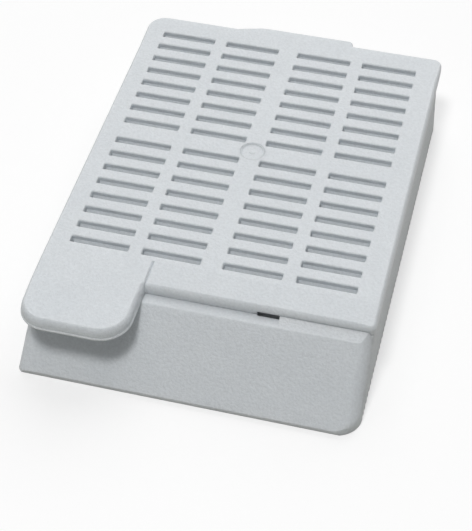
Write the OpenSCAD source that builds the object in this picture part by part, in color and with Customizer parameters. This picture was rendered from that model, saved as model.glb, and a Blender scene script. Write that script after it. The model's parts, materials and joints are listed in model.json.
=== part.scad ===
// Tissue cassette: a slotted tray with a sloped writing face and a hinged, snap-on lid.
// X runs across, Y from the writing face to the hinge, Z up. All sizes are in millimetres.

/* [Tray] */
// Width over the side ribs, at the ground
body_w = 28.5; // [26:0.1:34]
// Length from the foot of the writing face to the rear wall
body_l = 40.5; // [37:0.1:50]
// Height of the closed cassette
body_h = 6.5; // [6:0.1:9]
// How far each side wall leans in from the ground to the rim
side_lean = 0.2; // [0.05:0.05:0.3]
// Thickness of the side walls at the ground, and of the rear wall
wall_t = 1.0; // [0.95:0.05:1.3]
// Thickness of the floor
floor_t = 1.0; // [0.8:0.05:1.6]
// Outer corner radius at the rear
rear_r = 3.0; // [1.5:0.1:4]
// Outer corner radius at the right of the writing face's foot
foot_right_r = 2.1; // [0.5:0.1:3]
// Outer corner radius at the left of the writing face's foot
foot_left_r = 0.8; // [0.1:0.1:3]
// Distance from one side rib to the next
rib_pitch = 0.65; // [0.5:0.05:1.5]
// Height of a side rib
rib_h = 0.13; // [0.05:0.01:0.2]

/* [Writing face] */
// Horizontal run of the sloped face
face_run = 5.4; // [4:0.1:7]
// Thickness of the sloped plate
face_t = 1.0; // [0.7:0.05:1.3]
// Height of the blunt foot below the slope
foot_h = 0.5; // [0.5:0.05:1]
// Height of the set-back under the foot's rim
toe_h = 0.4; // [0.05:0.05:0.45]
// Depth of that set-back at the ground
toe_l = 0.1; // [0.05:0.05:0.5]
// Corner radius between the sloped face and the right side wall
face_right_r = 1.2; // [0.5:0.1:2]
// Corner radius between the sloped face and the left side wall
face_left_r = 1; // [0.1:0.1:2]
// Width of the ledge that shows in front of the lid
ledge_w = 0.9; // [0.5:0.05:1.5]
// Distance from the lid's front edge back to the tray's front wall
shelf_w = 1.15; // [0.8:0.05:1.3]
// Thickness of the tray's front wall
front_wall_t = 0.65; // [0.5:0.05:1.3]
// Rise of the ledge towards the lid, on the right of the right catch
ledge_rise = 0.4; // [0.05:0.05:0.6]
// Thickness of the ledge
ledge_t = 1.0; // [0.7:0.05:1.4]

/* [Slots] */
// Width of a slot
slot_w = 0.7; // [0.5:0.05:1.2]
// Distance from one row to the next
slot_pitch = 1.8; // [1.5:0.05:2.5]
// Extra distance between the two groups of rows
group_gap = 0.9; // [0:0.1:3]
// Least distance from a slot to the chamber's end walls
row_margin = 0.6; // [0.3:0.1:2]
// Distance from the outer slots to the side walls
side_margin = 1.0; // [0.5:0.05:2]
// Solid strip between the two inner columns
centre_strip = 1.87; // [1:0.01:3]
// Solid strip between an inner and an outer column
column_strip = 1.18; // [0.6:0.01:2]
// Distance of the slots' middle from the tray's, to the left
slots_shift = 0.16; // [0:0.01:0.3]

/* [Lid] */
// Thickness of the lid
lid_t = 1.1; // [0.8:0.05:1.4]
// How far the lid stands out past the tray's side ribs at the rim
lid_over = 0.08; // [-0.2:0.01:0.1]
// How far the tray stands out past the lid at the rear
lid_rear_inset = 0.15; // [0:0.05:0.3]
// Gap between the lid's front edge and the raised ledge
front_gap = 0.04; // [0.02:0.01:0.1]
// Corner radius of the lid at the rear left
lid_rl_r = 1.7; // [0.4:0.1:3]
// Corner radius of the lid at the rear right
lid_rr_r = 0.9; // [0.3:0.1:3]
// Corner radius of the lid at the front right
lid_fr_r = 0.5; // [0.1:0.1:2]
// Drop of the lid's front edge below its top
lip_drop = 0.18; // [0.05:0.01:0.3]
// Length of the stretch that slopes down to the front edge
lip_l = 2.55; // [1.5:0.05:3]
// Gap between the closed lid and the tray's rim
seat_gap = 0.02; // [0.01:0.01:0.1]
// Diameter of the round gate mark in the middle of the lid
gate_d = 2.0; // [1:0.1:3]
// Depth of the gate mark
gate_depth = 0.25; // [0.1:0.05:0.5]

/* [Thumb tab] */
// Width of the tab
tab_w = 9.25; // [6:0.05:12]
// Reach of the tab in front of the lid's front edge
tab_l = 5.85; // [3:0.05:6.1]
// Corner radius at the outer side
tab_outer_r = 2.3; // [0.5:0.1:3]
// Corner radius at the inner side
tab_inner_r = 2.6; // [0.5:0.1:3.5]

/* [Catches] */
// Distance from the middle to the right catch
catch_right_x = 5.45; // [4:0.05:10]
// Distance from the middle to the left catch
catch_left_x = 5.9; // [5.9:0.05:10]
// Width of a catch
catch_w = 1.8; // [1:0.1:3]
// Thickness of a catch
catch_t = 0.4; // [0.3:0.05:0.45]
// Length of a catch below the lid
catch_l = 1.4; // [1:0.1:2]
// Height of the window in the lid's front edge over a catch
catch_window_h = 0.35; // [0.1:0.05:0.6]
// Play around a catch in its opening
catch_gap = 0.06; // [0.03:0.01:0.15]
// How far the opening shows in front of the lid
catch_show = 0.05; // [0.05:0.05:0.3]

/* [Hinge] */
// Width of the hinge hook
hook_w = 11; // [6:0.1:16]
// Wall thickness of the hinge hook
hook_t = 0.52; // [0.4:0.02:0.7]
// Diameter of the hinge bar
bar_d = 0.8; // [0.6:0.05:0.8]
// Distance from the rear wall's outer face to the bar's axis
bar_inset = 0.45; // [0.4:0.01:0.5]
// Extra depth of the bar below the rim, for the lid's rear edge to swing past
swing_gap = 0.03; // [0.03:0.01:0.1]
// Running gap between the bar and the hook
hinge_gap = 0.08; // [0.04:0.01:0.1]
// Gap at each end of the hook and below it
window_gap = 0.12; // [0.05:0.01:0.4]
// Length of the slope at the left end of the hook's tongue
tongue_slope = 2.4; // [0.5:0.1:3]
// Corner radius at the right end of the hook's tongue
tongue_r = 0.4; // [0.1:0.05:0.5]

/* [Hidden] */

$fn = 48;
arc_steps = 10;
over = 1;
mouth_angle = 210;
plastic = [0.80, 0.82, 0.84];

bar_r = bar_d / 2;
bar_drop = bar_inset + swing_gap;
bore_r = bar_r + hinge_gap;
hook_r = bore_r + hook_t;
hook_back = hook_r - bar_inset;
total_l = body_l + hook_back;

y_foot = -total_l / 2;
y_rear = y_foot + body_l;
y_ledge = y_foot + face_run;
y_lid = y_ledge + ledge_w;
y_step = y_lid - front_gap;
y_wall = y_lid + shelf_w;
y_catch = y_wall - catch_gap - catch_t;
y_chamber = y_wall + front_wall_t;
y_chamber_end = y_rear - wall_t;
y_lid_rear = y_rear - lid_rear_inset;

z_lid = body_h - lid_t;
z_rim = z_lid - seat_gap;
z_ledge_under = z_rim - ledge_t;
z_bar = z_rim - bar_drop;
y_bar = y_rear - bar_inset;

inner_w = body_w - 2 * (rib_h + wall_t);
inner_r = rear_r - wall_t - rib_h;
lid_w = body_w - 2 * (side_lean - lid_over);

chamber_l = y_chamber_end - y_chamber;
y_middle = (y_chamber + y_chamber_end) / 2;
rows = floor((chamber_l - 2 * row_margin - slot_w - group_gap - slot_pitch) / slot_pitch / 2 + 1);
slot_l = (inner_w - 2 * side_margin - centre_strip - 2 * column_strip) / 4;
x_inner = (centre_strip + slot_l) / 2;
x_outer = x_inner + slot_l + column_strip;
y_group = (slot_pitch + group_gap) / 2;

catch_places = [-catch_left_x, catch_right_x];
x_rise = catch_right_x + catch_w / 2 + catch_gap;

face_angle = atan((z_rim - foot_h) / face_run);
face_back = face_t / sin(face_angle);

// Angles of the leaning side: from upright, seen square to the sloped face, and past square to that face
lean_angle = atan(side_lean / z_rim);
edge_lean = atan(tan(lean_angle) * sin(face_angle));
edge_turn = asin(sin(lean_angle) * cos(face_angle));

// Points along an arc, from one angle to another
function arc(x, y, r, from, to) =
    [for (i = [0:arc_steps]) let (a = from + (to - from) * i / arc_steps) [x + r * cos(a), y + r * sin(a)]];

// Depth of the sloped face's front surface at a height
function face_y(z) = y_foot + (z - foot_h) * face_run / (z_rim - foot_h);

// Zigzag of the ribbed side at +X, from front to rear
function ribbed_side(from, to) =
    let (half_pitch = rib_pitch / 2)
    [for (i = [ceil(from / half_pitch):floor(to / half_pitch)])
        [body_w / 2 - (i % 2 == 0 ? rib_h : 0), i * half_pitch]];

function mirrored(points) = [for (i = [len(points) - 1:-1:0]) [-points[i][0], points[i][1]]];

// A profile given as [y, z], run along X between two places
module along_x(x_from, x_to) {
    translate([x_from, 0, 0]) rotate([90, 0, 90]) linear_extrude(x_to - x_from) children();
}

module rounded_plate(w, y_from, y_to, r, h) {
    right = concat(arc(w / 2 - r, y_from + r, r, -90, 0), arc(w / 2 - r, y_to - r, r, 0, 90));
    linear_extrude(h) polygon(concat(right, mirrored(right)));
}

module slots(z_from, z_to) {
    translate([-slots_shift, y_middle, z_from])
        for (x = [-x_outer, -x_inner, x_inner, x_outer], side = [-1, 1], row = [0:rows - 1])
            translate([x - slot_l / 2, side * (y_group + row * slot_pitch) - slot_w / 2, 0])
                cube([slot_l, slot_w, z_to - z_from]);
}

// Side view of the tray, with the points of its ledge given
module tray_side(x_from, x_to, ledge) {
    along_x(x_from, x_to)
        polygon(concat(
            [[y_foot, toe_h], [y_foot + toe_l, 0], [y_rear, 0], [y_rear, z_rim]],
            ledge,
            [[y_foot, foot_h]]));
}

// What a rounding of radius r takes off the edge between the sloped face and the side wall at +X
module face_edge(r) {
    x = r * (tan(edge_turn) - 1 / cos(edge_turn));
    step = 90 / arc_steps;
    translate([body_w / 2 - foot_h * tan(lean_angle), y_foot, foot_h])
        rotate([face_angle - 90, 0, 0]) rotate([0, -edge_lean, 0])
            translate([0, 0, -total_l]) linear_extrude(2 * total_l)
                polygon(concat([[x, -total_l]], arc(x, r, r, step - 90, edge_turn),
                    [[r + over, r * (1 + sin(edge_turn))], [r + over, -total_l]]));
}

// Outline of one half of the tray, with the corner radius at the foot given
function tray_half(r) = concat(
    arc(body_w / 2 - r, y_foot + r, r, -90, 0),
    ribbed_side(y_foot + r, y_rear - rear_r),
    arc(body_w / 2 - rear_r, y_rear - rear_r, rear_r, 0, 90));

// Block with the leaning side wall at +X, and open-ended towards -X
module leaning_side(r) {
    translate([body_w / 2, 0, 0]) rotate([0, -lean_angle, 0]) translate([-body_w / 2, 0, -over])
        linear_extrude(body_h + 2 * over)
            polygon(concat(tray_half(r), [[-body_w, y_rear], [-body_w, y_foot]]));
}

module tray_block() {
    difference() {
        intersection() {
            leaning_side(foot_right_r);
            mirror([1, 0, 0]) leaning_side(foot_left_r);
            union() {
                tray_side(-body_w, x_rise, [[y_ledge, z_rim]]);
                tray_side(x_rise, body_w,
                    [[y_step, z_rim], [y_step, z_rim + ledge_rise], [y_ledge, z_rim]]);
            }
        }
        face_edge(face_right_r);
        mirror([1, 0, 0]) face_edge(face_left_r);
    }
}

module chamber() {
    translate([0, 0, floor_t]) rounded_plate(inner_w, y_chamber, y_chamber_end, inner_r, z_rim);
}

// Space behind the writing face, open at the bottom
module face_hollow() {
    along_x(-inner_w / 2, inner_w / 2) polygon([
        [face_y(-over) + face_back, -over],
        [face_y(z_ledge_under) + face_back, z_ledge_under],
        [y_wall, z_ledge_under],
        [y_wall, -over]]);
}

module catch_openings() {
    opening_w = catch_w + 2 * catch_gap;
    for (x = catch_places)
        translate([x - opening_w / 2, y_lid - catch_show, z_ledge_under - over])
            cube([opening_w, y_wall - y_lid + catch_show, ledge_t + 2 * over]);
}

// Window in the rear wall that the hinge hook turns in
module hinge_window() {
    window_w = hook_w + 2 * window_gap;
    window_z = z_bar - hook_r - window_gap;
    translate([-window_w / 2, y_chamber_end - over, window_z])
        cube([window_w, wall_t + 2 * over, z_rim - window_z + over]);
}

// Rounds the rim over the bar's axis, so that the rear edge of the lid can swing down behind it
module rim_rounding() {
    difference() {
        translate([-body_w, y_bar, z_bar]) cube([2 * body_w, bar_inset + over, bar_drop + over]);
        translate([-body_w, y_bar, z_bar]) rotate([0, 90, 0]) cylinder(r = bar_drop, h = 2 * body_w);
    }
}

module hinge_bar() {
    bar_l = hook_w + 2 * window_gap + wall_t;
    translate([-bar_l / 2, y_bar, z_bar]) rotate([0, 90, 0]) cylinder(r = bar_r, h = bar_l);
}

module base() {
    color(plastic) union() {
        difference() {
            tray_block();
            chamber();
            face_hollow();
            slots(-over, floor_t + over);
            catch_openings();
            hinge_window();
            rim_rounding();
        }
        hinge_bar();
    }
}

module lid_plate() {
    half = lid_w / 2;
    x_tab = -half + tab_w;
    y_tab = y_lid - tab_l;
    translate([0, 0, z_lid]) linear_extrude(lid_t) polygon(concat(
        arc(-half + tab_outer_r, y_tab + tab_outer_r, tab_outer_r, 180, 270),
        arc(x_tab - tab_inner_r, y_tab + tab_inner_r, tab_inner_r, 270, 360),
        [[x_tab, y_lid]],
        arc(half - lid_fr_r, y_lid + lid_fr_r, lid_fr_r, 270, 360),
        arc(half - lid_rr_r, y_lid_rear - lid_rr_r, lid_rr_r, 0, 90),
        arc(-half + lid_rl_r, y_lid_rear - lid_rl_r, lid_rl_r, 90, 180)));
}

// Takes the top off the lid's front edge beside the tab
module lip_slope() {
    along_x(tab_w - lid_w / 2, body_w) polygon([
        [y_lid - over, body_h - lip_drop * (1 + over / lip_l)],
        [y_lid + lip_l, body_h],
        [y_lid - over, body_h + over]]);
}

module catch_windows() {
    for (x = catch_places)
        translate([x - catch_w / 2 - catch_gap, y_lid - catch_show, z_lid - over])
            cube([catch_w + 2 * catch_gap, catch_show + y_catch - y_lid, over + catch_window_h]);
}

module catches() {
    lead = catch_t / 2;
    for (x = catch_places)
        along_x(x - catch_w / 2, x + catch_w / 2) polygon([
            [y_catch, z_lid + lid_t / 2],
            [y_catch, z_lid - catch_l + lead],
            [y_catch + lead, z_lid - catch_l],
            [y_catch + catch_t, z_lid - catch_l],
            [y_catch + catch_t, z_lid + lid_t / 2]]);
}

// Ring around the hinge bar, open towards the chamber so that it snaps on
module hinge_hook() {
    half = hook_w / 2;
    reach = 2 * hook_r;
    y_back = y_bar + hook_r;
    difference() {
        union() {
            translate([-half, y_bar, z_bar]) rotate([0, 90, 0]) cylinder(r = hook_r, h = hook_w);
            translate([0, 0, z_bar]) linear_extrude(body_h - z_bar) polygon(concat(
                [[-half, y_bar], [half, y_bar]],
                arc(half - tongue_r, y_back - tongue_r, tongue_r, 0, 90),
                [[tongue_slope - half, y_back], [-half, y_lid_rear]]));
        }
        translate([-hook_w, y_bar, z_bar]) rotate([0, 90, 0]) cylinder(r = bore_r, h = 2 * hook_w);
        along_x(-hook_w, hook_w) polygon([
            [y_bar, z_bar],
            [y_bar, z_lid],
            [y_bar - reach, z_lid],
            [y_bar + reach * cos(mouth_angle), z_bar + reach * sin(mouth_angle)]]);
    }
}

module gate_mark() {
    pip_d = gate_d / 4;
    translate([-slots_shift, y_middle, body_h - gate_depth]) difference() {
        cylinder(d = gate_d, h = gate_depth + over);
        translate([0, 0, -over]) cylinder(d = pip_d, h = over + gate_depth / 2);
    }
}

module lid() {
    color(plastic) difference() {
        union() {
            lid_plate();
            catches();
            hinge_hook();
        }
        slots(z_lid - over, body_h + over);
        lip_slope();
        catch_windows();
        gate_mark();
    }
}

base();
lid();
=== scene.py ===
import bmesh
import bpy
import json
import math
from mathutils import Matrix, Vector


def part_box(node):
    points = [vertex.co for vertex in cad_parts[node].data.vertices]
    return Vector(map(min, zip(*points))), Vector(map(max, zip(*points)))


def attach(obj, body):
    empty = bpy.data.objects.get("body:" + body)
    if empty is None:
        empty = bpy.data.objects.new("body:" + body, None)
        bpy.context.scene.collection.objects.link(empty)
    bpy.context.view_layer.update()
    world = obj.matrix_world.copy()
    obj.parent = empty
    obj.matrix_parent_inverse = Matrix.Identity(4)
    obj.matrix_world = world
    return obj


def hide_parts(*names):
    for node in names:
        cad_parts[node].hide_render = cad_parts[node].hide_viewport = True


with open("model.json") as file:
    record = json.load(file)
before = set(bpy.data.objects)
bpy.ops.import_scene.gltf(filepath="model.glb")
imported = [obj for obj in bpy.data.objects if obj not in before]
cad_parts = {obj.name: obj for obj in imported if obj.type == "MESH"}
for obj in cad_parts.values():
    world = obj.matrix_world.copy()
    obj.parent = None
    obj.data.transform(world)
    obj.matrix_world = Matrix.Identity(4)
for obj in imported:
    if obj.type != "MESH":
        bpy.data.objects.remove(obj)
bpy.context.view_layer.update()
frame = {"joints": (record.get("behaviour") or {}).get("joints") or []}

mm = 0.001

# the boxes of the two mouldings and the hinge axis, in millimetres
baseLow, baseHigh = (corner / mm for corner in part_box("base"))
lidLow, lidHigh = (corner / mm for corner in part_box("lid"))
hinge = Vector(frame["joints"][0]["pos_m"]) / mm

# how the lid sits on the tray
seat = {
    "lidThickness": 1.1,
    "gap": 0.02,
    "frontGap": 0.04,
    "rearInset": 0.15,
}

halfTray = baseHigh.x
halfLid = lidHigh.x
footY = baseLow.y
rearY = baseHigh.y
lidRearY = rearY - seat["rearInset"]
tabY = lidLow.y
tongueY = lidHigh.y
topZ = lidHigh.z
lidZ = topZ - seat["lidThickness"]
rimZ = lidZ - seat["gap"]


# mesh tools: everything is a stack of rings, cut and joined, worked in millimetres

def arc(cx, cy, radius, start, end, steps):
    angles = [math.radians(start + (end - start) * i / steps) for i in range(steps + 1)]
    return [(cx + radius * math.cos(a), cy + radius * math.sin(a)) for a in angles]


# sine and cosine over a quarter turn, for roundings
def quarter(steps):
    turns = [math.radians(90 * i / steps) for i in range(steps + 1)]
    return [(math.sin(a), math.cos(a)) for a in turns]


def addStack(mesh, rings):
    rows = [[mesh.verts.new(point) for point in ring] for ring in rings]
    count = len(rows[0])
    for lower, upper in zip(rows, rows[1:]):
        for i in range(count):
            j = (i + 1) % count
            mesh.faces.new((lower[i], lower[j], upper[j], upper[i]))
    mesh.faces.new(list(reversed(rows[0])))
    mesh.faces.new(rows[-1])


def makeObject(name, stacks):
    mesh = bmesh.new()
    for rings in stacks:
        addStack(mesh, rings)
    bmesh.ops.remove_doubles(mesh, verts=mesh.verts, dist=1e-5)
    bmesh.ops.dissolve_degenerate(mesh, edges=mesh.edges, dist=1e-5)
    bmesh.ops.recalc_face_normals(mesh, faces=mesh.faces)
    data = bpy.data.meshes.new(name)
    mesh.to_mesh(data)
    mesh.free()
    piece = bpy.data.objects.new(name, data)
    bpy.context.scene.collection.objects.link(piece)
    return piece


def combine(piece, tool, operation):
    change = piece.modifiers.new("combine", "BOOLEAN")
    change.solver = "EXACT"
    change.operation = operation
    change.object = tool
    graph = bpy.context.evaluated_depsgraph_get()
    result = bpy.data.meshes.new_from_object(piece.evaluated_get(graph))
    piece.modifiers.clear()
    old = piece.data
    piece.data = result
    bpy.data.meshes.remove(old)
    bpy.data.meshes.remove(tool.data)


def roundedBox(lowX, highX, lowY, highY, radius, steps=4):
    return (arc(highX - radius, lowY + radius, radius, -90, 0, steps)
            + arc(highX - radius, highY - radius, radius, 0, 90, steps)
            + arc(lowX + radius, highY - radius, radius, 90, 180, steps)
            + arc(lowX + radius, lowY + radius, radius, 180, 270, steps))


def atHeight(outline, z):
    return [(x, y, z) for x, y in outline]


# a hole whose rim is rounded over at the top, at the bottom or at both; with a taper its rear wall
# falls back a little, then leans forward
def holeStack(lowX, highX, lowY, highY, corner, lowZ, highZ, flareLow=0.0, flareHigh=0.0, steps=4,
              taper=None):
    def ring(grow, z, lean=0.0):
        return atHeight(roundedBox(lowX - grow, highX + grow, lowY - grow, highY + grow - lean,
                                   corner + grow), z)

    rings = []
    lean = taper["lean"] if taper else 0.0
    if flareLow:
        rings.append(ring(flareLow, lowZ - 1, lean))
        rings += [ring(flareLow * (1 - s), lowZ + flareLow * (1 - c), lean) for s, c in quarter(steps)]
    else:
        rings.append(ring(0, lowZ, lean))
    if taper:
        rings.append(ring(0, highZ - taper["depth"] - taper["height"], lean))
        rings.append(ring(0, highZ - taper["depth"], -taper["recess"]))
    if flareHigh:
        rings += [ring(flareHigh * (1 - c), highZ - flareHigh * (1 - s)) for s, c in quarter(steps)]
        rings.append(ring(flareHigh, highZ + 1))
    else:
        rings.append(ring(0, highZ))
    return rings


# a closed profile of (y, z) points, run along X
def barStack(profile, lowX, highX):
    return [[(x, y, z) for y, z in profile] for x in (lowX, highX)]


sharpAngle = math.radians(32)


# scale to metres, smooth shading with crisp corners, and the place of the plain node
def finishMesh(piece, node):
    mesh = bmesh.new()
    mesh.from_mesh(piece.data)
    bmesh.ops.remove_doubles(mesh, verts=mesh.verts, dist=1e-4)
    bmesh.ops.dissolve_degenerate(mesh, edges=mesh.edges, dist=1e-4)
    mesh.to_mesh(piece.data)
    mesh.free()
    piece.data.transform(Matrix.Scale(mm, 4))
    for face in piece.data.polygons:
        face.use_smooth = True
    piece.data.set_sharp_from_angle(angle=sharpAngle)
    normals = piece.modifiers.new("flat faces stay flat", "WEIGHTED_NORMAL")
    normals.keep_sharp = True
    normals.weight = 100
    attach(piece, node)
    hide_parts(node)


# the slots of the lid and of the tray's floor share one grid
slot = {
    "width": 0.7,
    "length": 5.0025,
    "pitch": 1.8,
    "innerX": 3.43625,
    "outerX": 9.61875,
    "middleX": -0.16,
    "middleY": 3.275,
    "firstY": 1.35,
    "rows": 8,
    "corner": 0.1,
    "edge": 0.14,
    "floorEdge": 0.08,
    "taper": {"depth": 0.48, "height": 0.38, "lean": 0.24, "recess": 0.06},
}


def slotStacks(lowZ, highZ, flareLow, flareHigh, taper=None):
    stacks = []
    for x in (-slot["outerX"], -slot["innerX"], slot["innerX"], slot["outerX"]):
        for side in (-1, 1):
            for row in range(slot["rows"]):
                y = slot["middleY"] + side * (slot["firstY"] + row * slot["pitch"])
                stacks.append(holeStack(
                    slot["middleX"] + x - slot["length"] / 2, slot["middleX"] + x + slot["length"] / 2,
                    y - slot["width"] / 2, y + slot["width"] / 2,
                    slot["corner"], lowZ, highZ, flareLow, flareHigh, 3, taper))
    return stacks


# Tray

tray = {
    "wall": 1.0,
    "floor": 1.0,
    "lean": 0.2,
    "rearRadius": 3.0,
    "footRightRadius": 2.1,
    "footLeftRadius": 0.8,
    "faceRun": 5.4,
    "faceThickness": 1.0,
    "faceRightEdge": 1.2,
    "faceLeftEdge": 1.0,
    "footHeight": 0.5,
    "footEdge": 0.05,
    "groundEdge": 0.03,
    "toeHeight": 0.4,
    "toeLength": 0.1,
    "ledge": 0.9,
    "ledgeEdge": 0.3,
    "ledgeRise": 0.4,
    "crestLength": 0.07,
    "crestDrop": 0.025,
    "crestShoulder": 0.05,
    "crestTip": 0.012,
    "ledgeThickness": 1.0,
    "shelf": 1.15,
    "frontWall": 0.65,
    "rimEdge": 0.05,
    "rearEdge": 0.46,
    "ribPitch": 0.65,
    "ribHeight": 0.13,
    "innerHalf": 13.12,
    "innerRadius": 1.87,
    "floorFillet": 0.25,
    "hollowRadius": 0.3,
}

catch = {
    "leftX": -5.9,
    "rightX": 5.45,
    "width": 1.8,
    "thickness": 0.4,
    "length": 1.4,
    "gap": 0.06,
    "show": 0.05,
    "windowHeight": 0.35,
    "windowCorner": 0.12,
}

ledgeY = footY + tray["faceRun"]
lidFrontY = ledgeY + tray["ledge"]
wallY = lidFrontY + tray["shelf"]
chamberLowY = wallY + tray["frontWall"]
chamberHighY = rearY - tray["wall"]
ledgeUnderZ = rimZ - tray["ledgeThickness"]
faceHeight = rimZ - tray["footHeight"]
faceAngle = math.atan2(faceHeight, tray["faceRun"])
riseX = catch["rightX"] + catch["width"] / 2 + catch["gap"]


def faceY(z):
    return footY + (z - tray["footHeight"]) * tray["faceRun"] / faceHeight


def filletPoints(corner, before, after, radius, steps):
    corner, before, after = Vector(corner), Vector(before), Vector(after)
    u, v = (before - corner).normalized(), (after - corner).normalized()
    half = math.acos(max(-1, min(1, u.dot(v)))) / 2
    centre = corner + (u + v).normalized() * radius / math.sin(half)
    start = corner + u * radius / math.tan(half) - centre
    end = corner + v * radius / math.tan(half) - centre
    points = []
    for i in range(steps + 1):
        t = i / steps
        points.append(centre + (start.lerp(end, t)).normalized() * radius)
    return [(p.x, p.y) for p in points]


# front profile of the tray as (y, z), from the ground to the ledge
def frontProfile():
    toe = (footY, tray["toeHeight"])
    foot = (footY, tray["footHeight"])
    top = (ledgeY, rimZ)
    back = (ledgeY + 5, rimZ)
    run = tray["toeLength"]
    points = [(footY + run * (1 - z / toe[1]), z) for z in (0, 0.02, tray["groundEdge"])]
    points += filletPoints(toe, (footY + run, 0), foot, tray["groundEdge"], 3)
    points += filletPoints(foot, toe, top, tray["footEdge"], 5)
    ledgeArc = filletPoints(top, foot, back, tray["ledgeEdge"], 8)
    y, z = points[-1]
    steps = 18
    for i in range(1, steps):
        points.append((y + (ledgeArc[0][0] - y) * i / steps, z + (ledgeArc[0][1] - z) * i / steps))
    return points + ledgeArc


# the side ribs stand on one grid, with the valleys at whole pitches
ribLowY = footY + tray["footRightRadius"]
ribHighY = rearY - tray["rearRadius"]
ribStep = tray["ribPitch"] / 4
ribPoints = [i * ribStep for i in range(math.ceil(ribLowY / ribStep), math.floor(ribHighY / ribStep) + 1)]


def ribDepth(y):
    if y < ribLowY or y > ribHighY:
        return 0.0
    ends = min(1.0, (y - ribLowY) * 6, (ribHighY - y) * 6)
    return tray["ribHeight"] * (1 - abs(math.sin(math.pi * y / tray["ribPitch"]))) * ends


# half the width over the ribs at a height, as the side walls lean in towards the rim
def halfAt(z):
    return halfTray - tray["lean"] * z / rimZ


# the side wall's X, rounded in plan at the foot and along the edge of the sloped face
def sideX(y, z, footRadius, faceEdge):
    half = halfAt(z)
    x = half - ribDepth(y)
    foot = footRadius - (y - footY)
    if foot > 0:
        x = min(x, half - footRadius + math.sqrt(max(0, footRadius ** 2 - foot ** 2)))
    face = faceEdge - (y - faceY(z)) * math.sin(faceAngle)
    if face > 0:
        x = min(x, half - faceEdge + math.sqrt(max(0, faceEdge ** 2 - face ** 2)))
    return x


def edgeInset(z, radius, ground):
    inset = 0.0
    if z > rimZ - radius:
        inset = radius - math.sqrt(max(0, radius ** 2 - (z - rimZ + radius) ** 2))
    if z < ground:
        inset = ground - math.sqrt(max(0, ground ** 2 - (ground - z) ** 2))
    return inset


# one half of the tray's outline at a height, as if it were the right one
def halfRing(y, z, footRadius, faceEdge):
    sideInset = edgeInset(z, tray["rimEdge"], tray["groundEdge"])
    rearInset = edgeInset(z, tray["rearEdge"], tray["groundEdge"])
    cornerY = max(footY + footRadius, faceY(z) + faceEdge / math.sin(faceAngle))
    steps = 14
    points = []
    for i in range(steps + 1):
        atY = y + (cornerY - y) * (1 - math.cos(math.pi / 2 * i / steps))
        points.append((sideX(atY, z, footRadius, faceEdge) - sideInset, atY))
    for p in ribPoints:
        atY = max(p, cornerY)
        points.append((sideX(atY, z, footRadius, faceEdge) - sideInset, atY))
    radius = tray["rearRadius"]
    for i in range(13):
        a = math.radians(90 * i / 12)
        r = radius - sideInset + (sideInset - rearInset) * (i / 12)
        points.append((halfAt(z) - radius + r * math.cos(a), rearY - radius + r * math.sin(a)))
    return points


def trayRing(y, z):
    right = halfRing(y, z, tray["footRightRadius"], tray["faceRightEdge"])
    left = halfRing(y, z, tray["footLeftRadius"], tray["faceLeftEdge"])
    return atHeight(right + [(-x, y) for x, y in reversed(left)], z)


# the ledge's rise to the lid, on the right of the right catch
def ledgeRiseStack():
    edge = tray["ledgeEdge"]
    backY = lidFrontY - seat["frontGap"]
    angle = math.atan2(tray["ledgeRise"], backY - ledgeY)
    startY = ledgeY + edge * math.tan(faceAngle / 2) - edge * math.sin(angle)
    startZ = rimZ - edge * (1 - math.cos(angle))
    crestZ = rimZ + tray["ledgeRise"]
    tip = tray["crestTip"]
    levels = [(startY + edge, rimZ - edge, backY), (startY + 0.02, startZ - 0.05, backY)]
    steps = 10
    for i in range(steps + 1):
        levels.append((startY + (backY - tray["crestLength"] - startY) * i / steps,
                       startZ - 0.003 + (crestZ - tray["crestDrop"] - startZ) * i / steps, backY))
    levels.append((backY - tray["crestShoulder"], crestZ - tip, backY - tip))
    rings = []
    for y, z, lastY in levels:
        ring = [(riseX, lastY), (riseX, y)]
        for i in range(13):
            atY = y + (lastY - y) * i / 12
            ring.append((sideX(atY, z, tray["footRightRadius"], tray["faceRightEdge"]), atY))
        rings.append(atHeight(ring, z))
    return rings


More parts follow.
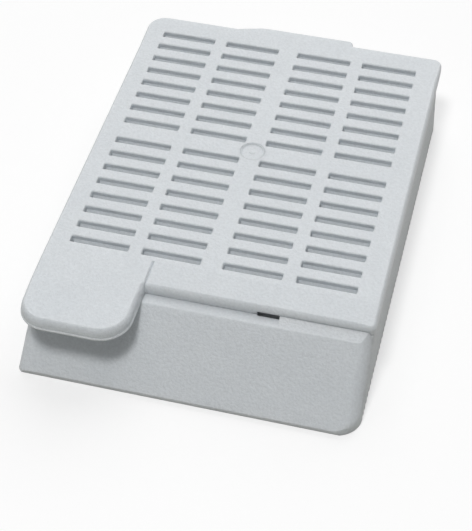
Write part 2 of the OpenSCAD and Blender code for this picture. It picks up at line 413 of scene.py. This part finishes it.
def makeTray():
    base = makeObject("slottedTray", [[trayRing(y, z) for y, z in frontProfile()]])
    combine(base, makeObject("ledgeRise", [ledgeRiseStack()]), "UNION")
    print("tray: outer form,", len(base.data.polygons), "faces")

    inner, corner = tray["innerHalf"], tray["innerRadius"]
    fillet, edge = tray["floorFillet"], tray["rimEdge"]
    levels = [(-fillet * (1 - s), tray["floor"] + fillet * (1 - c)) for s, c in quarter(4)]
    levels += [(edge * (1 - c), rimZ - edge * (1 - s)) for s, c in quarter(4)] + [(edge, rimZ + 1)]
    rings = [atHeight(roundedBox(-inner - grow, inner + grow, chamberLowY - grow, chamberHighY + grow,
                                 corner + grow, 8), z) for grow, z in levels]
    combine(base, makeObject("chamber", [rings]), "DIFFERENCE")

    # hollow behind the writing face, open at the bottom
    rings = []
    for z, grow in ((-1, edge), (0, edge), (edge, edge * 0.4), (edge, 0), (2, 0), (4, 0),
                    (ledgeUnderZ - edge, 0), (ledgeUnderZ - edge * 0.3, -edge * 0.3), (ledgeUnderZ, -edge)):
        frontY = faceY(max(z, 0)) + tray["faceThickness"] / math.sin(faceAngle)
        rings.append(atHeight(roundedBox(-inner - grow, inner + grow, frontY - grow, wallY + min(grow, 0),
                                         tray["hollowRadius"] + grow), z))
    combine(base, makeObject("hollow", [rings]), "DIFFERENCE")

    floorSlots = slotStacks(0, tray["floor"], slot["floorEdge"], slot["floorEdge"])
    combine(base, makeObject("floorSlots", floorSlots), "DIFFERENCE")
    print("tray: hollows and slots,", len(base.data.polygons), "faces")

    gap = catch["gap"]
    openings = []
    for x in (catch["leftX"], catch["rightX"]):
        half = catch["width"] / 2 + gap
        openings.append(holeStack(x - half, x + half, lidFrontY - catch["show"], wallY,
                                  catch["windowCorner"], ledgeUnderZ - 1, rimZ, 0, tray["rimEdge"], 3))
    combine(base, makeObject("catchOpenings", openings), "DIFFERENCE")

    half = hook["width"] / 2 + hook["windowGap"]
    lowZ = hinge.z - hook["radius"] - hook["windowGap"]
    window = holeStack(-half, half, lowZ, rimZ + 2, hook["windowCorner"], chamberHighY - 1, rearY,
                       0, hook["windowEdge"], 3)
    window = [[(x, z, y) for x, y, z in ring] for ring in window]
    combine(base, makeObject("hingeWindow", [window]), "DIFFERENCE")

    reach = half + tray["wall"] / 2
    bar = arc(hinge.y, hinge.z, hook["barRadius"], 0, 345, 23)
    combine(base, makeObject("hingeBar", [barStack(bar, -reach, reach)]), "UNION")
    return base


# Lid

lid = {
    "rearLeftRadius": 1.7,
    "rearRightRadius": 0.8,
    "frontRightRadius": 0.5,
    "sideEdge": 0.5,
    "frontEdge": 0.65,
    "cornerEdge": 0.45,
    "rearEdge": 0.3,
    "tongueEdge": 0.3,
    "underEdge": 0.07,
    "lipDrop": 0.18,
    "lipLength": 2.55,
    "lipStep": 0.12,
    "creaseWidth": 0.12,
    "creaseDepth": 0.2,
    "crest": 0.23,
    "sweep": 1.23,
    "turn": 50,
}

tab = {
    "width": 9.25,
    "outerRadius": 2.3,
    "innerRadius": 2.6,
    "edge": 0.65,
    "flange": 0.08,
    "flangeHeight": 0.14,
    "flangeFade": 0.08,
}

hook = {
    "width": 11.0,
    "radius": 1.0,
    "bore": 0.48,
    "barRadius": 0.4,
    "windowGap": 0.12,
    "windowCorner": 0.15,
    "windowEdge": 0.08,
    "overlap": 0.3,
    "reach": 0.7,
    "slope": 2.4,
    "corner": 0.4,
    "mouth": 210,
}

gateMark = {
    "diameter": 2.0,
    "depth": 0.12,
    "edge": 0.12,
    "pip": 0.28,
    "pipHeight": 0.07,
}

tabRightX = tab["width"] - halfLid
catchY = wallY - catch["gap"] - catch["thickness"]


# the lid's outline, each point with the rounding of its top edge and how far the wall stands back
# above the flange at its foot
def lidOutline():
    outer, inner = tab["outerRadius"], tab["innerRadius"]
    left, right = lid["rearLeftRadius"], lid["rearRightRadius"]
    front, corner = lid["frontRightRadius"], hook["corner"]
    halfHook = hook["width"] / 2
    points = []

    def add(places, edge, flange=0.0):
        points.extend((x, y, edge, tab["flange"] * flange) for x, y in places)

    def straight(start, end, steps):
        return [(start[0] + (end[0] - start[0]) * i / steps, start[1] + (end[1] - start[1]) * i / steps)
                for i in range(1, steps)]

    add(arc(-halfLid + outer, tabY + outer, outer, 180, 270, 14), tab["edge"], 1)
    add(straight((-halfLid + outer, tabY), (tabRightX - inner, tabY), 4), tab["edge"], 1)
    add(arc(tabRightX - inner, tabY + inner, inner, 270, 360, 16), tab["edge"], 1)
    add([(tabRightX, lidFrontY - 2)], tab["edge"], 1)
    add([(tabRightX, lidFrontY - 1)], tab["edge"], 0.7)
    add([(tabRightX, lidFrontY - 0.45)], tab["edge"], 0.2)
    add(arc(tabRightX + 0.15, lidFrontY - 0.15, 0.15, 180, 90, 4), lid["frontEdge"])
    add([(tabRightX + 0.5, lidFrontY), (0, lidFrontY), (halfLid - 2, lidFrontY)], lid["frontEdge"])
    add([(halfLid - 1, lidFrontY)], lid["frontEdge"] * 0.9)
    add(arc(halfLid - front, lidFrontY + front, front, 270, 360, 8), lid["cornerEdge"])
    add(straight((halfLid, lidFrontY + front), (halfLid, lidRearY - right), 12), lid["sideEdge"])
    add(arc(halfLid - right, lidRearY - right, right, 0, 90, 10), lid["rearEdge"])
    add([(halfHook + 2, lidRearY), (halfHook + 0.12, lidRearY)], lid["rearEdge"])
    add(arc(halfHook - corner, tongueY - corner, corner, 0, 90, 6), lid["tongueEdge"])
    add([(0, tongueY), (hook["slope"] - halfHook + 0.5, tongueY)], lid["tongueEdge"])
    add([(hook["slope"] - halfHook - 0.3, tongueY - 0.05), (-halfHook, lidRearY + 0.05)], lid["tongueEdge"])
    add([(-halfHook - 0.12, lidRearY), (-halfHook - 2, lidRearY)], lid["rearEdge"])
    add(arc(-halfLid + left, lidRearY - left, left, 90, 180, 14), lid["rearEdge"])
    add(straight((-halfLid, lidRearY - left), (-halfLid, lidFrontY - 2), 12), lid["sideEdge"])
    add([(-halfLid, lidFrontY - 2)], lid["sideEdge"], 0.5)
    return points


# the inward direction at each point, longer at a corner so that both sides move in alike
def inward(points):
    result = []
    for i, point in enumerate(points):
        x, y = point[:2]
        px, py = points[i - 1][:2]
        nx, ny = points[(i + 1) % len(points)][:2]
        before = Vector((py - y, x - px)).normalized()
        after = Vector((y - ny, nx - x)).normalized()
        total = before + after
        result.append(total / max(0.5, 1 + before.dot(after)))
    return result


# profile of the lid's edge as (distance inwards, height): the flange, the wall set back above it,
# then a wide sweep from the wall and a tight crest into the flat top
def lidProfile(edge, setBack):
    under, flangeTop, fade = lid["underEdge"], tab["flangeHeight"], tab["flangeFade"]
    levels = [(under, 0), (under * 0.3, under * 0.3), (0, under), (0, flangeTop),
              (setBack * 0.3, flangeTop + fade * 0.35), (setBack, flangeTop + fade)]
    crest, sweep, turn = edge * lid["crest"], edge * lid["sweep"], math.radians(lid["turn"])
    top = seat["lidThickness"]
    sweepZ = top - crest * (1 - math.sin(turn)) - sweep * math.sin(turn)
    crestInset = setBack + sweep * (1 - math.cos(turn)) + crest * math.cos(turn)
    for i in range(6):
        a = turn * i / 5
        levels.append((setBack + sweep * (1 - math.cos(a)), sweepZ + sweep * math.sin(a)))
    for i in range(1, 5):
        a = turn + (math.pi / 2 - turn) * i / 4
        levels.append((crestInset - crest * math.cos(a), top - crest * (1 - math.sin(a))))
    return levels


def makeLidPlate():
    outline = lidOutline()
    normals = inward(outline)
    profiles = [lidProfile(*point[2:]) for point in outline]
    rings = []
    for level in range(len(profiles[0])):
        ring = []
        for point, normal, profile in zip(outline, normals, profiles):
            inset, z = profile[level]
            ring.append((point[0] + normal.x * inset, point[1] + normal.y * inset, lidZ + z))
        rings.append(ring)
    plate = makeObject("slottedLid", [rings])

    # the strip beside the tab slopes down to the front edge, and a crease divides the two
    creaseY = lidFrontY + lid["lipLength"]
    step, wide = lid["lipStep"], lid["creaseWidth"]
    cuts = [((0, y, 0), (0, 1, 0)) for y in (creaseY, creaseY + wide)]
    cuts += [((tabRightX + x, 0, 0), (1, 0, 0)) for x in (-wide, 0, step)]
    mesh = bmesh.new()
    mesh.from_mesh(plate.data)
    for place, normal in cuts:
        bmesh.ops.bisect_plane(mesh, geom=mesh.verts[:] + mesh.edges[:] + mesh.faces[:], dist=1e-5,
                               plane_co=place, plane_no=normal)
    for vert in mesh.verts:
        beside = vert.co.x - tabRightX
        if vert.co.y > creaseY + wide / 2 or vert.co.z < lidZ + 0.001:
            continue
        drop = 0.0
        if beside > 0:
            drop = lid["lipDrop"] * min(1, beside / step) * max(0, creaseY - vert.co.y) / lid["lipLength"]
        if abs(beside) < 0.001:
            drop += lid["creaseDepth"]
        vert.co.z = lidZ + (vert.co.z - lidZ) * (1 - drop / seat["lidThickness"])
    mesh.to_mesh(plate.data)
    mesh.free()
    return plate


def makeLid():
    plate = makeLidPlate()
    print("lid: plate,", len(plate.data.polygons), "faces")

    half = hook["width"] / 2
    ring = arc(hinge.y, hinge.z, hook["radius"], hook["mouth"], 390, 24)
    joinZ = lidZ + hook["overlap"]
    ring += [(hinge.y + hook["reach"], joinZ), (hinge.y, joinZ)]
    ring += arc(hinge.y, hinge.z, hook["bore"], 90, hook["mouth"] - 360, 24)
    backY = tongueY - 0.01
    corner = hook["corner"]
    block = [(-half, hinge.y + hook["reach"] - 0.1), (half, hinge.y + hook["reach"] - 0.1)]
    block += arc(half - corner, backY - corner, corner, 0, 90, 6)
    block += [(hook["slope"] - half, backY), (-half, lidRearY)]
    tongues = []
    for x in (catch["leftX"], catch["rightX"]):
        low, lead = lidZ - catch["length"], catch["thickness"] / 2
        profile = [(catchY, lidZ + 0.5), (catchY, low + lead), (catchY + lead, low),
                   (catchY + catch["thickness"], low), (catchY + catch["thickness"], lidZ + 0.5)]
        tongues.append(barStack(profile, x - catch["width"] / 2, x + catch["width"] / 2))
    combine(plate, makeObject("catches", tongues), "UNION")
    combine(plate, makeObject("hookRing", [barStack(ring, -half, half)]), "UNION")
    combine(plate, makeObject("hookBlock", [[atHeight(block, hinge.z), atHeight(block, joinZ)]]), "UNION")

    slots = slotStacks(lidZ, topZ, slot["floorEdge"], slot["edge"], slot["taper"])
    combine(plate, makeObject("lidSlots", slots), "DIFFERENCE")

    windows = []
    for x in (catch["leftX"], catch["rightX"]):
        reach = catch["width"] / 2 + catch["gap"]
        rings = holeStack(x - reach, x + reach, lidZ - 1, lidZ + catch["windowHeight"],
                          catch["windowCorner"], lidFrontY - catch["show"], catchY)
        windows.append([[(px, pz, py) for px, py, pz in r] for r in rings])
    combine(plate, makeObject("catchWindows", windows), "DIFFERENCE")

    radius, edge = gateMark["diameter"] / 2, gateMark["edge"]
    deep = topZ - gateMark["depth"]
    levels = [(radius + edge, topZ + 1)]
    levels += [(radius + edge * c, topZ - edge * (1 - s)) for s, c in quarter(4)]
    levels += [(radius - 0.02, deep + 0.05), (radius - 0.1, deep)]
    pip = gateMark["pip"]
    levels += [(pip, deep), (pip * 0.8, deep + gateMark["pipHeight"] * 0.8),
               (pip * 0.4, deep + gateMark["pipHeight"])]
    rings = [atHeight(arc(slot["middleX"], slot["middleY"], r, 0, 352.5, 47), z) for r, z in levels]
    combine(plate, makeObject("gateRecess", [rings]), "DIFFERENCE")
    print("lid: cut,", len(plate.data.polygons), "faces")
    return plate


basePiece = makeTray()
lidPiece = makeLid()

finishMesh(basePiece, "base")
finishMesh(lidPiece, "lid")

# Finish: satin moulded acetal

acetal = {
    "ior": 1.48,
    "bump": 0.6,
    "color": (0.685, 0.717, 0.742, 1),
    "shade": (0.668, 0.701, 0.727, 1),
    "roughness": 0.45,
    "grainScale": 4400,
    "grainHeight": 0.00008,
    "grainColor": 0.055,
    "cloudScale": 260,
    "subsurface": 0.5,
    "subsurfaceDepth": 0.001,
}


def addSocket(group, name, kind, direction, value=None):
    socket = group.interface.new_socket(name=name, in_out=direction, socket_type=kind)
    if value is not None:
        socket.default_value = value


def link(tree, source, target):
    tree.links.new(source, target)


def addMapRange(tree, source, fromLow, fromHigh, toLow, toHigh):
    node = tree.nodes.new("ShaderNodeMapRange")
    node.inputs["From Min"].default_value = fromLow
    node.inputs["From Max"].default_value = fromHigh
    node.inputs["To Min"].default_value = toLow
    node.inputs["To Max"].default_value = toHigh
    link(tree, source, node.inputs["Value"])
    return node.outputs["Result"]


# fine spark texture of the mould and slow clouds in the colour
def makeGrainGroup():
    group = bpy.data.node_groups.new("mouldGrain", "ShaderNodeTree")
    addSocket(group, "Grain Scale", "NodeSocketFloat", "INPUT", acetal["grainScale"])
    addSocket(group, "Cloud Scale", "NodeSocketFloat", "INPUT", acetal["cloudScale"])
    addSocket(group, "Grain", "NodeSocketFloat", "OUTPUT")
    addSocket(group, "Cloud", "NodeSocketFloat", "OUTPUT")
    nodes = group.nodes
    entry = nodes.new("NodeGroupInput")
    leave = nodes.new("NodeGroupOutput")
    place = nodes.new("ShaderNodeTexCoord")
    fine = nodes.new("ShaderNodeTexNoise")
    fine.inputs["Detail"].default_value = 3
    fine.inputs["Roughness"].default_value = 0.6
    cloud = nodes.new("ShaderNodeTexNoise")
    cloud.inputs["Detail"].default_value = 4
    for texture, scale, output in ((fine, "Grain Scale", "Grain"), (cloud, "Cloud Scale", "Cloud")):
        link(group, place.outputs["Object"], texture.inputs["Vector"])
        link(group, entry.outputs[scale], texture.inputs["Scale"])
        link(group, texture.outputs["Fac"], leave.inputs[output])
    return group


def makeAcetal(group):
    material = bpy.data.materials.new("satinAcetal")
    material.use_nodes = True
    tree = material.node_tree
    shader = tree.nodes["Principled BSDF"]
    shader.inputs["IOR"].default_value = acetal["ior"]
    shader.inputs["Roughness"].default_value = acetal["roughness"]
    shader.inputs["Subsurface Weight"].default_value = acetal["subsurface"]
    shader.inputs["Subsurface Radius"].default_value = (1, 1, 1)
    shader.inputs["Subsurface Scale"].default_value = acetal["subsurfaceDepth"]
    grain = tree.nodes.new("ShaderNodeGroup")
    grain.node_tree = group
    grain.inputs["Grain Scale"].default_value = acetal["grainScale"]
    grain.inputs["Cloud Scale"].default_value = acetal["cloudScale"]
    mix = tree.nodes.new("ShaderNodeMix")
    mix.data_type = "RGBA"
    mix.inputs["A"].default_value = acetal["shade"]
    mix.inputs["B"].default_value = acetal["color"]
    link(tree, addMapRange(tree, grain.outputs["Cloud"], 0.35, 0.6, 0, 1), mix.inputs["Factor"])
    tone = tree.nodes.new("ShaderNodeHueSaturation")
    spread = acetal["grainColor"]
    link(tree, mix.outputs["Result"], tone.inputs["Color"])
    value = addMapRange(tree, grain.outputs["Grain"], 0.3, 0.7, 1 - spread, 1 + spread)
    link(tree, value, tone.inputs["Value"])
    link(tree, tone.outputs["Color"], shader.inputs["Base Color"])
    bump = tree.nodes.new("ShaderNodeBump")
    bump.inputs["Strength"].default_value = acetal["bump"]
    bump.inputs["Distance"].default_value = acetal["grainHeight"]
    link(tree, grain.outputs["Grain"], bump.inputs["Height"])
    link(tree, bump.outputs["Normal"], shader.inputs["Normal"])
    return material


acetalMaterial = makeAcetal(makeGrainGroup())
for piece in (basePiece, lidPiece):
    piece.data.materials.clear()
    piece.data.materials.append(acetalMaterial)
print("materials done")

# Studio: pale floor, soft light and the camera

studio = {
    "floorSize": 2.0,
    "floorBounce": (0.56, 0.555, 0.515, 1),
    "floorSeen": 0.55,
    "floorGlow": 0.5,
    "fadeStart": 0.08,
    "fadeEnd": 0.35,
    "worldStrength": 0.2,
    "keyPower": 0.66,
    "keySize": 0.08,
    "keyPlace": (-0.04, -0.124, 0.378),
    "rearPower": 1.85,
    "rearSize": 0.6,
    "rearPlace": (0.0, 0.424, 0.424),
}


# 1 where the camera sees the surface, itself or in a glossy or clear one, and 0 for its own light
def addSeenMask(tree):
    path = tree.nodes.new("ShaderNodeLightPath")
    mask = path.outputs["Is Camera Ray"]
    for name in ("Is Glossy Ray", "Is Transmission Ray"):
        either = tree.nodes.new("ShaderNodeMath")
        either.operation = "MAXIMUM"
        link(tree, mask, either.inputs[0])
        link(tree, path.outputs[name], either.inputs[1])
        mask = either.outputs["Value"]
    return mask


def makeFloor():
    data = bpy.data.meshes.new("floor")
    half = studio["floorSize"] / 2
    data.from_pydata([(-half, -half, 0), (half, -half, 0), (half, half, 0), (-half, half, 0)], [],
                     [(0, 1, 2, 3)])
    floor = bpy.data.objects.new("floor", data)
    bpy.context.scene.collection.objects.link(floor)
    material = bpy.data.materials.new("paleFloor")
    material.use_nodes = True
    tree = material.node_tree
    shader = tree.nodes["Principled BSDF"]
    shader.inputs["Roughness"].default_value = 0.9
    shader.inputs["Specular IOR Level"].default_value = 0.0
    shader.inputs["Emission Color"].default_value = (1, 1, 1, 1)
    seen = addSeenMask(tree)
    # away from the object, where the lamps grow weak, the floor's own glow takes over
    place = tree.nodes.new("ShaderNodeTexCoord")
    distance = tree.nodes.new("ShaderNodeVectorMath")
    distance.operation = "LENGTH"
    link(tree, place.outputs["Object"], distance.inputs[0])
    far = addMapRange(tree, distance.outputs["Value"], studio["fadeStart"], studio["fadeEnd"], 0, 1)
    mix = tree.nodes.new("ShaderNodeMix")
    mix.data_type = "RGBA"
    mix.inputs["A"].default_value = studio["floorBounce"]
    link(tree, addMapRange(tree, far, 0, 1, studio["floorSeen"], 0), mix.inputs["B"])
    link(tree, seen, mix.inputs["Factor"])
    link(tree, mix.outputs["Result"], shader.inputs["Base Color"])
    glow = tree.nodes.new("ShaderNodeMath")
    glow.operation = "MULTIPLY"
    link(tree, seen, glow.inputs[0])
    link(tree, addMapRange(tree, far, 0, 1, studio["floorGlow"], 1), glow.inputs[1])
    link(tree, glow.outputs["Value"], shader.inputs["Emission Strength"])
    data.materials.append(material)


def addAreaLight(name, power, size, place):
    data = bpy.data.lights.new(name, "AREA")
    data.energy = power
    data.size = size
    lamp = bpy.data.objects.new(name, data)
    lamp.location = place
    lamp.rotation_euler = (-Vector(place)).to_track_quat("-Z", "Y").to_euler()
    bpy.context.scene.collection.objects.link(lamp)


def makeWorld():
    world = bpy.data.worlds.new("paleRoom")
    world.use_nodes = True
    tree = world.node_tree
    background = tree.nodes["Background"]
    background.inputs["Color"].default_value = (1, 1, 1, 1)
    strength = addMapRange(tree, addSeenMask(tree), 0, 1, studio["worldStrength"], 1)
    link(tree, strength, background.inputs["Strength"])
    bpy.context.scene.world = world


makeFloor()
makeWorld()
addAreaLight("keyLight", studio["keyPower"], studio["keySize"], studio["keyPlace"])
addAreaLight("rearLight", studio["rearPower"], studio["rearSize"], studio["rearPlace"])
print("studio done")

camera = {
    "place": (0.0228927, -0.0932577, 0.0978875),
    "right": (0.97008, 0.24279, 0.00173),
    "up": (-0.17730, 0.70350, 0.68823),
    "back": (0.16588, -0.66794, 0.72549),
    "lens": 103.79,
    "shift": (-0.0115, -0.0202),
}

cameraData = bpy.data.cameras.new("camera")
cameraData.sensor_width = 36
cameraData.lens = camera["lens"]
cameraData.shift_x, cameraData.shift_y = camera["shift"]
cameraData.clip_start = 0.01
cameraObject = bpy.data.objects.new("camera", cameraData)
turn = Matrix((camera["right"], camera["up"], camera["back"])).transposed()
cameraObject.matrix_world = Matrix.Translation(camera["place"]) @ turn.to_4x4()
bpy.context.scene.collection.objects.link(cameraObject)
bpy.context.scene.camera = cameraObject

bpy.context.scene.view_settings.view_transform = "Standard"
